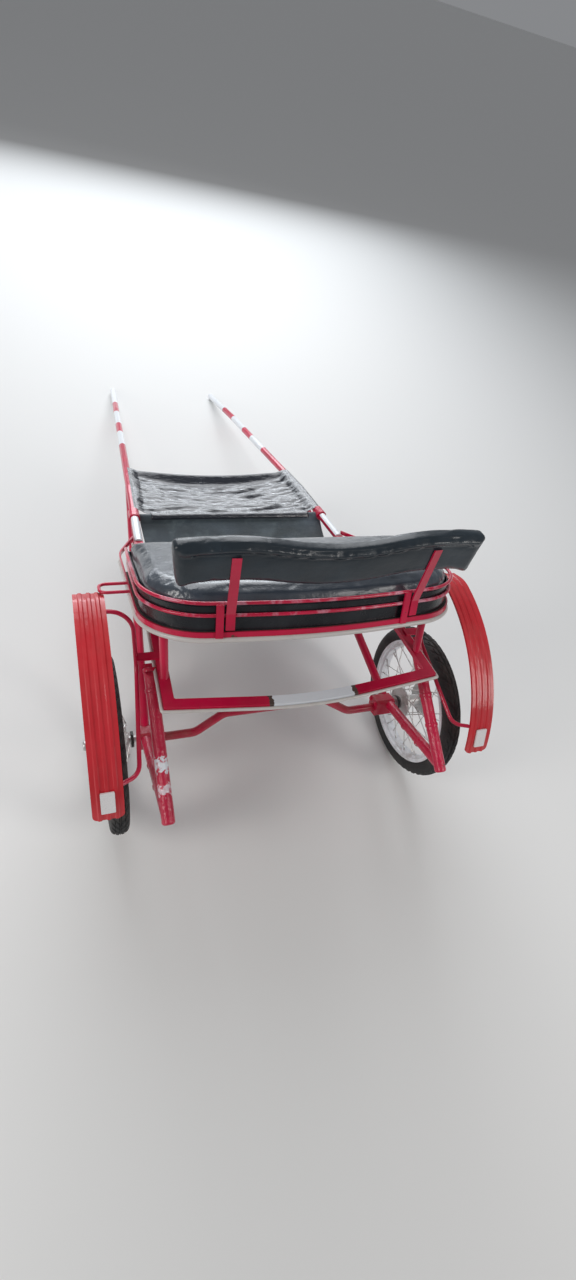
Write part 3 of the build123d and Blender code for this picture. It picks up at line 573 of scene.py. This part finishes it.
def apron_point(u, v):
    side = 2 * u - 1
    across = 1 - side * side
    centre, y, z = apron_line(v, across)
    half = centre.x - 0.010
    # Over the shaft's top, and at the right down its outer side
    reach = min(max((abs(side) - SHAFT_SHARE) / 0.10, 0), 1)
    x = abs(side) / SHAFT_SHARE * half if reach == 0 else half
    if reach > 0:
        turn = math.radians(125 - (120 if side > 0 else 25) * reach)
        x = centre.x + SHAFT_WRAP * math.cos(turn)
        z = centre.z + SHAFT_WRAP * math.sin(turn)
    else:
        rim = smooth_step(abs(side), 0.80, SHAFT_SHARE)
        z += (centre.z + SHAFT_WRAP * 0.82 - z) * rim
    edge = 1 - smooth_step(abs(side), 0.82, 0.90)
    edge = edge * smooth_step(v, 0.05, 0.13) * (1 - smooth_step(v, 0.86, 0.92))
    fold = noise.noise(Vector((side * 1.6, v * 11, 3.1))) * 0.0120
    fold += noise.noise(Vector((side * 3.8, v * 24 + side * 3, 8.4))) * 0.0075
    fold += noise.noise(Vector((side * 10, v * 48 - side * 4, 5.7))) * 0.0026
    pull = noise.noise(Vector((side * 9, (v * 8 - abs(side) * 7), 1.7))) * 0.007 * abs(side) ** 1.5
    z += (fold + pull) * edge
    # The flap over the crossbar, between the two corners
    if v > APRON_FLAP and -0.78 < side < 0.80:
        share = (v - APRON_FLAP) / (1 - APRON_FLAP)
        y, z = over_bar(math.radians(60 + 130 * share), BAR_WRAP)
    elif v > APRON_FLAP:
        y -= 0.008 * (v - APRON_FLAP) / (1 - APRON_FLAP)
    return parked(math.copysign(x, side), y, z)


apron = grid_piece("apron_sheet", apron_point, 200, 130)
thicken(apron, APRON_THICKNESS)
apron_vinyl = Shader("apron_vinyl", (0.010, 0.013, 0.022), 0.16, coat=1.0, coat_roughness=0.05)
apron_vinyl.blotches((0.035, 0.040, 0.055), 0.5, 9, 5, 0.4, 0.7)
apron_vinyl.rough(apron_vinyl.noise(50, 5, 0.6), 0.08, 0.26)
apron_vinyl.bump(apron_vinyl.noise(24, 5, 0.6, (1, 3.4, 3.4)), 0.006, 0.5, coat=True)
finish_material(apron_vinyl, apron)
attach(apron, "cart")
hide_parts("front_apron")


# Net under the feet: a fine dark mesh cloth that sags from the crossbar to the seat board
net_shader = Shader("net_cloth", (0.020, 0.034, 0.042), 0.75, sheen=0.4)
net_cells = net_shader.node("ShaderNodeTexBrick", {"Vector": net_shader.place(turn=(PARK_TURN, 0, 0))})
net_cells.offset = 0
net_cells.inputs["Scale"].default_value = 130
net_cells.inputs["Mortar Size"].default_value = 0.028
net_cells.inputs["Mortar Smooth"].default_value = 0.4
net_cells.inputs["Brick Width"].default_value = 0.5
net_cells.inputs["Row Height"].default_value = 0.5
net_shader.mix(net_shader.math("MULTIPLY", net_cells.outputs["Fac"], 0.55), (0.10, 0.15, 0.17))
net_shader.blotches((0.16, 0.21, 0.23), 0.5, 16, 6, 0.5, 0.72, 0.65)
net_shader.blotches((0.16, 0.22, 0.29), 0.4, 5, 4, 0.42, 0.7, 0.6, (0.5, 1, 1))
net_shader.bump(net_cells.outputs["Fac"], 0.0012, 0.8)

PAN_FRONT = (0.145, 0.833)
NET_MIDDLE, NET_HALF = 0.010, 0.383
NET_SAG, NET_WRAP, NET_THICKNESS = 0.095, 0.0140, 0.002
# Share of the net that lies on the crossbar, and how far up the sag the rest reaches
BAR_SHARE, NET_REACH = 0.08, 0.978


def net_line(v):
    """Level Y and Z along the net's sag, from the seat board forward, on the arc that the solid has."""
    front, rear = Vector(CROSSBAR), Vector(PAN_FRONT)
    low = Vector(((front.x + rear.x) / 2, rear.y - NET_SAG))
    chord = front - rear
    middle = (front + rear) / 2
    rise = (middle - low).dot(Vector((-chord.y, chord.x)).normalized())
    radius = (chord.length ** 2 / 4 + rise ** 2) / (2 * rise)
    half_turn = math.asin(chord.length / 2 / radius)
    centre = low + Vector((-chord.y, chord.x)).normalized() * radius
    turn = -half_turn + 2 * half_turn * v
    down = (low - centre).normalized()
    sideways = Vector((-down.y, down.x))
    return centre + down * radius * math.cos(turn) + sideways * radius * math.sin(turn)


def net_point(u, v):
    """Round the top of the crossbar first, then along the sag."""
    side = 2 * u - 1
    if v < BAR_SHARE:
        y, z = over_bar(math.radians(10 + 150 * v / BAR_SHARE), NET_WRAP)
        return parked(NET_MIDDLE + side * NET_HALF, y, z)
    run = (v - BAR_SHARE) / (1 - BAR_SHARE)
    line = net_line(NET_REACH * (1 - run))
    middle = (1 - run) * run * 4
    fold = noise.noise(Vector((side * 2.1, run * 2.4, 5.2))) * 0.007 * middle
    fold += noise.noise(Vector((side * 7.0, run * 5.0, 2.2))) * 0.003 * middle
    return parked(NET_MIDDLE + side * (NET_HALF - 0.012 * middle), line.x, line.y - 0.0025 + fold)


net = grid_piece("net_sheet", net_point, 90, 70)
thicken(net, NET_THICKNESS)
finish_material(net_shader, net)
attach(net, "cart")
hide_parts("floor_net")


# Cushion and backrest pad, swelled a little from their solids by cloth pressure
def soft_copy(node, name, voxel, shrink):
    """A remeshed copy of a solid, drawn in by a few millimetres so that it can swell back."""
    source = nodes[node]
    piece = bpy.data.objects.new(name, source.data.copy())
    bpy.context.collection.objects.link(piece)
    weld = piece.modifiers.new("weld", "WELD")
    weld.merge_threshold = 0.0002
    remesh = piece.modifiers.new("remesh", "REMESH")
    remesh.mode = "VOXEL"
    remesh.voxel_size = voxel
    apply_modifiers(piece)
    normals = [vertex.normal.copy() for vertex in piece.data.vertices]
    for vertex, normal in zip(piece.data.vertices, normals):
        vertex.co -= normal * shrink
    return piece


def swell(piece, pressure, cap, steps=20, pinned=None):
    """Cloth under pressure, with each point's travel capped; points where pinned is true stay."""
    start = [vertex.co.copy() for vertex in piece.data.vertices]
    cloth = piece.modifiers.new("cloth", "CLOTH")
    settings = cloth.settings
    settings.use_pressure = True
    settings.uniform_pressure_force = pressure
    settings.effector_weights.gravity = 0
    settings.tension_stiffness = 15
    settings.compression_stiffness = 15
    settings.bending_stiffness = 0.5
    if pinned:
        group = piece.vertex_groups.new(name="pinned")
        group.add([i for i, point in enumerate(start) if pinned(point)], 1.0, "REPLACE")
        settings.vertex_group_mass = "pinned"
    for number in range(1, steps + 1):
        bpy.context.scene.frame_set(number)
    graph = bpy.context.evaluated_depsgraph_get()
    moved = [vertex.co.copy() for vertex in piece.evaluated_get(graph).data.vertices]
    piece.modifiers.clear()
    for vertex, old, new in zip(piece.data.vertices, start, moved):
        travel = new - old
        if travel.length > cap:
            travel = travel.normalized() * cap
        vertex.co = old + travel
    bpy.context.scene.frame_set(1)


CUSHION_HALF, CUSHION_MIDDLE, CUSHION_REACH = 0.470, -0.08, 0.235
CUSHION_FOOT, CUSHION_TOP = 0.87, 0.93


def crown(piece, amount):
    """Lifts the middle of a seat cushion."""
    for vertex in piece.data.vertices:
        level = level_of(vertex.co)
        across = 1 - min(abs(level.x) / CUSHION_HALF, 1) ** 3
        along = 1 - min(abs(level.y - CUSHION_MIDDLE) / CUSHION_REACH, 1) ** 3
        if level.z > CUSHION_TOP:
            level.z += amount * (across * along)
        vertex.co = PARK @ level


cushion = soft_copy("seat_cushion", "seat_cushion_cover", 0.007, 0.004)
crown(cushion, 0.010)
swell(cushion, 3.0, 0.006, 12, lambda point: level_of(point).z < CUSHION_FOOT)
cushion_vinyl = Shader("cushion_vinyl", (0.030, 0.040, 0.054), 0.32, coat=0.8, coat_roughness=0.15)
cushion_vinyl.blotches((0.065, 0.080, 0.105), 0.5, 6, 5, 0.4, 0.7)
cushion_vinyl.vinyl_grain(0.3)
cushion_vinyl.bump(cushion_vinyl.noise(13, 5, 0.6), 0.008, 0.5, coat=True)
cushion_vinyl.rough(cushion_vinyl.noise(30, 4), 0.22, 0.42)
finish_material(cushion_vinyl, cushion)
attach(cushion, "cart")
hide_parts("seat_cushion")

# Backrest: a rolled upper edge over a seam, its blue-grey a painted reflection, and a darker panel below it,
# whose darkness is painted shade
PAD_FOOT = Vector((0, -0.3521, 0.952))
PAD_LEAN = math.radians(18)
PAD_UP = Vector((0, -math.sin(PAD_LEAN), math.cos(PAD_LEAN)))
PAD_OUT = Vector((0, -math.cos(PAD_LEAN), -math.sin(PAD_LEAN)))
PAD_HALF, PAD_DEPTH = 0.425, 0.046
ROLL = 0.040
SEAM_STEPS = 90


def pad_top(x):
    """Height of the wavy upper edge along the pad."""
    return 0.1314 + 0.0155 * (1 - math.cos(math.pi * x / 0.300))


def shape_pad(piece):
    """Raises the roll on the pad's back, sinks the seam under it and creases both."""
    for vertex in piece.data.vertices:
        level = level_of(vertex.co)
        up = (level - PAD_FOOT).dot(PAD_UP)
        out = (level - PAD_FOOT).dot(PAD_OUT)
        below = pad_top(level.x) - up
        if out > -PAD_DEPTH / 2 and below < 0.11:
            if below < ROLL:
                push = 0.0065 * math.sin(math.pi * min(max(below, 0), ROLL) / ROLL) ** 0.7
            else:
                push = -0.0030 * math.exp(-(below - ROLL) / 0.012)
            crease = noise.noise(Vector((level.x * 9, up * 22, 4.4))) * 0.0022
            fade = smooth_step(PAD_HALF - abs(level.x), 0, 0.03)
            vertex.co = PARK @ (level + PAD_OUT * (push + crease) * fade)


def seam_line(name, below, lift, radius, reach):
    """A raised seam laid on the pad's back, at a distance below its upper edge."""
    surface = BVHTree.FromPolygons(
        [vertex.co for vertex in pad.data.vertices], [face.vertices for face in pad.data.polygons]
    )
    inward = -(PARK.to_3x3() @ PAD_OUT)
    points = []
    for step in range(SEAM_STEPS + 1):
        x = reach * (2 * step / SEAM_STEPS - 1)
        start = PARK @ (PAD_FOOT + Vector((x, 0, 0)) + PAD_UP * (pad_top(x) - below) + PAD_OUT * 0.06)
        hit = surface.ray_cast(start, inward)[0]
        if hit:
            points.append(hit - inward * lift)
    seam = tube(name, points, radius, 8)
    finish_material(roll_vinyl_painted_reflection, seam)
    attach(seam, "cart")


def backrest_vinyl(name, colour, other, roughness, coat, wrinkle):
    """Grained vinyl, blotched with another colour and wrinkled to a depth."""
    shader = Shader(name, colour, roughness, coat=coat, coat_roughness=0.14)
    shader.blotches(other, 0.6, 7, 5, 0.42, 0.7)
    shader.vinyl_grain(0.3)
    shader.bump(shader.noise(14, 5, 0.6, (0.6, 1, 1)), wrinkle, 0.45, coat=True)
    shader.rough(shader.noise(30, 4), roughness - 0.08, roughness + 0.14)
    return shader


pad = soft_copy("backrest_pad", "backrest_cover", 0.006, 0.003)
swell(pad, 4.0, 0.006, 16)
shape_pad(pad)
# The roll's blue-grey colour, lighter than the panel, is a painted reflection
roll_vinyl_painted_reflection = backrest_vinyl("backrest_roll_painted_reflection", (0.012, 0.020, 0.028), (0.030, 0.046, 0.062), 0.34, 0.45, 0.006)
roll_vinyl_painted_reflection.put("Specular IOR Level", 0.3)
# The panel's near-black colour, with its reflection turned down, is painted shade
panel_vinyl_painted_shade = backrest_vinyl("backrest_panel_painted_shade", (0.002, 0.002, 0.003), (0.005, 0.005, 0.007), 0.50, 0.0, 0.005)
panel_vinyl_painted_shade.put("Specular IOR Level", 0.06)
finish_material(roll_vinyl_painted_reflection, pad)
pad.data.materials.append(panel_vinyl_painted_shade.material)
for face in pad.data.polygons:
    middle = level_of(face.center) - PAD_FOOT
    if middle.dot(PAD_OUT) > -0.016 and middle.dot(PAD_UP) < pad_top(middle.x) - ROLL:
        face.material_index = 1
seam_line("backrest_seam", ROLL, 0.0006, 0.0022, 0.385)
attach(pad, "cart")
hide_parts("backrest_pad")


# Weld rings, bolts and dust disc covers
RING_SIDES = 28
BOLT_SIDES = 24


def ring(name, middle, way, radius, width, thickness, shader, slot):
    """A short band round a bar."""
    way = way.normalized()
    side = way.orthogonal().normalized()
    other = way.cross(side)
    outline = (
        (-width / 2, radius), (-width / 2, radius + thickness * 0.7), (-width / 3, radius + thickness),
        (width / 3, radius + thickness), (width / 2, radius + thickness * 0.7), (width / 2, radius),
    )
    points, faces = [], []
    for k in range(RING_SIDES):
        turn = 2 * math.pi * k / RING_SIDES
        spoke = side * math.cos(turn) + other * math.sin(turn)
        points += [PARK @ (middle + way * along + spoke * out) for along, out in outline]
    size = len(outline)
    for k in range(RING_SIDES):
        here, following = k * size, (k + 1) % RING_SIDES * size
        for j in range(size):
            a, b = here + j, here + (j + 1) % size
            c, d = following + (j + 1) % size, following + j
            faces.append((a, b, c, d))
    piece = mesh_piece(name, points, faces)
    finish_material(shader, piece)
    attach(piece, "cart")


def bolt(name, seat, way, across, height, shader):
    """A hexagon bolt head with a rounded crown and a washer, standing on its seat."""
    way = way.normalized()
    side = way.orthogonal().normalized()
    other = way.cross(side)
    # Share of the height, share of the width across, and whether the row is a hexagon
    rows = (
        (0.0, 0.72, False), (0.15, 0.72, False), (0.15, 0.5, True), (0.85, 0.5, True), (1.0, 0.40, True),
        (1.0, 0.0, True),
    )
    points, faces = [], []
    for share, wide, hexagon in rows:
        for k in range(BOLT_SIDES):
            turn = 2 * math.pi * k / BOLT_SIDES
            out = wide * across
            if hexagon:
                out *= math.cos(math.pi / 6) / math.cos((turn % (math.pi / 3)) - math.pi / 6)
            spoke = side * math.cos(turn) + other * math.sin(turn)
            points.append(PARK @ (seat + way * height * share + spoke * out))
    for row in range(len(rows) - 1):
        for k in range(BOLT_SIDES):
            a, b = row * BOLT_SIDES + k, row * BOLT_SIDES + (k + 1) % BOLT_SIDES
            faces.append((a, b, b + BOLT_SIDES, a + BOLT_SIDES))
    piece = mesh_piece(name, points, faces, False)
    finish_material(shader, piece)
    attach(piece, "cart")


def mirrored(point, side):
    return Vector((SIDES[side] * point[0], point[1], point[2]))


ARM_START = (0.457, -0.0303, 0.317)
LEG_RINGS = {"left": (0.82, 0.95), "right": (0.34, 0.56)}
ARM_RINGS = (0.35, 0.62)
HUB_HALF, DISC_GAP = 0.056, 0.0115
BRACKET_FACE = 0.399
BRACKET_BOLTS = ((-0.020, 0.325), (0.020, 0.325), (0.0, 0.283))


def fastenings(side):
    """The weld rings, bracket bolts and dust disc cover of one side."""
    foot, top = mirrored(LEG_FOOT, side), mirrored(LEG_TOP, side)
    for number, share in enumerate(LEG_RINGS[side]):
        name = f"leg_ring_{side}_{number + 1}"
        ring(name, foot.lerp(top, share), top - foot, 0.0190, 0.012, 0.0022, frame_red, "red_paint")
    arm_start, arm_end = mirrored(ARM_START, side), foot.lerp(top, 0.035)
    for number, share in enumerate(ARM_RINGS):
        name = f"arm_ring_{side}_{number + 1}"
        place = arm_start.lerp(arm_end, share)
        ring(name, place, arm_end - arm_start, 0.0180, 0.010, 0.0018, frame_red, "red_paint")
    hub_inner = SIDES[side] * (WHEEL_MIDDLE - HUB_HALF)
    disc_middle = Vector((hub_inner - SIDES[side] * DISC_GAP, 0, AXLE_HEIGHT))
    outward, inward = Vector((SIDES[side], 0, 0)), Vector((-SIDES[side], 0, 0))
    ring(f"dust_cover_{side}", disc_middle, outward, 0.0251, 0.0085, 0.0018, disc_black, "black_vinyl")
    for number, (y, z) in enumerate(BRACKET_BOLTS):
        name = f"bracket_bolt_{side}_{number + 1}"
        seat = Vector((SIDES[side] * BRACKET_FACE, y, z))
        bolt(name, seat, inward, 0.013, 0.006, frame_red)


for side in SIDES:
    fastenings(side)


# Tyres: an arched wall with a road tread of three grooves and slanting side cuts
rubber = Shader("tyre_rubber", (0.022, 0.022, 0.023), 0.72)
rubber.blotches((0.085, 0.078, 0.070), 0.7, 10, 6, 0.45, 0.72, 0.65)
rubber.rough(rubber.noise(40, 4), 0.55, 0.85).bump(rubber.noise(220, 3), 0.0006, 0.4)

# Half of the tyre's section, from the bead to the crown: distance along the axle, and radius
HALF_PROFILE = [
    (-0.0212, 0.2310), (-0.0214, 0.2415), (-0.0262, 0.2490), (-0.0288, 0.2570), (-0.0298, 0.2650),
    (-0.0290, 0.2730), (-0.0262, 0.2805), (-0.0230, 0.2850), (-0.0195, 0.2875), (-0.0165, 0.2890),
    (-0.0145, 0.2899), (-0.0125, 0.2906), (-0.0090, 0.2918), (-0.0050, 0.2926), (-0.0020, 0.2929),
    (0.0, 0.2930),
]
TYRE_PROFILE = HALF_PROFILE + [(-x, radius) for x, radius in reversed(HALF_PROFILE[:-1])]
WALL_THICKNESS = 0.006
TREAD_STEPS = 288
TREAD_DEPTH = 0.0035
GROOVES = (0.0145, 0.0020)
CUT_START, CUT_END, CUT_SLANT = 0.004, 0.0235, 260


def tyre_piece(side):
    centre = Vector((SIDES[side] * WHEEL_MIDDLE, AXLE.y, AXLE.z))
    count = len(TYRE_PROFILE)

    def point(u, v):
        index = round(u * (count - 1))
        x, radius = TYRE_PROFILE[index]
        step = round(v * TREAD_STEPS)
        if abs(x) in GROOVES:
            radius -= TREAD_DEPTH
        elif CUT_START < abs(x) < CUT_END and (step + round(abs(x) * CUT_SLANT)) % 6 in (0, 1):
            radius -= TREAD_DEPTH
        bearing = 2 * math.pi * v
        return centre + Vector((x, radius * math.cos(bearing), radius * math.sin(bearing)))

    piece = grid_piece(f"tyre_{side}_tread", point, count - 1, TREAD_STEPS, closed=True)
    # The sheet's normals face the axle, so the wall is added inside it
    thicken(piece, WALL_THICKNESS, 1)
    for face in piece.data.polygons:
        face.use_smooth = False
    finish_material(rubber, piece)
    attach(piece, f"wheel_{side}")
    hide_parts(f"tyre_{side}")


for side in SIDES:
    tyre_piece(side)


# Floor, backdrop colour and soft light
FLOOR_HALF = 60
WORLD_STRENGTH = 0.28


def studio():
    floor_shader = Shader("floor", (0.78, 0.78, 0.77), 0.85)
    floor_shader.mix(floor_shader.math("MULTIPLY", floor_shader.noise(0.6, 4), 0.06), (0.70, 0.69, 0.67))
    corners = [(FLOOR_HALF * x, FLOOR_HALF * y, 0) for x, y in ((-1, -1), (1, -1), (1, 1), (-1, 1))]
    floor = mesh_piece("floor", corners, [(0, 1, 2, 3)], False)
    finish_material(floor_shader, floor)
    world = bpy.data.worlds.new("world")
    world.use_nodes = True
    background = world.node_tree.nodes["Background"]
    background.inputs["Color"].default_value = (0.86, 0.88, 0.92, 1)
    background.inputs["Strength"].default_value = WORLD_STRENGTH
    bpy.context.scene.world = world
    # Name, place, target, size, power in watts and colour
    lamps = (
        ("sky_lamp", (0.3, 2.6, 3.6), (-0.1, -0.3, 0.5), (3.6, 3.6), 125, (0.95, 0.97, 1.0)),
        ("front_lamp", (0.4, 5.4, 1.9), (0, 0, 0.6), (5.4, 1.3), 125, (0.90, 0.95, 1.0)),
        ("side_lamp", (-3.4, -1.8, 2.6), (0, -0.8, 0.5), (1.2, 2.4), 60, (1.0, 0.98, 0.95)),
        ("back_lamp", (2.6, -3.6, 2.8), (0, -1.0, 0.5), (1.2, 2.4), 50, (1.0, 0.97, 0.94)),
    )
    for name, place, target, size, power, colour in lamps:
        data = bpy.data.lights.new(name, "AREA")
        data.shape = "RECTANGLE"
        data.size, data.size_y = size
        data.energy = power
        data.color = colour
        lamp = bpy.data.objects.new(name, data)
        aim = Vector(target) - Vector(place)
        lamp.matrix_world = Matrix.Translation(place) @ aim.to_track_quat("-Z", "Y").to_matrix().to_4x4()
        bpy.context.collection.objects.link(lamp)


studio()
bpy.context.scene.view_settings.view_transform = "Standard"
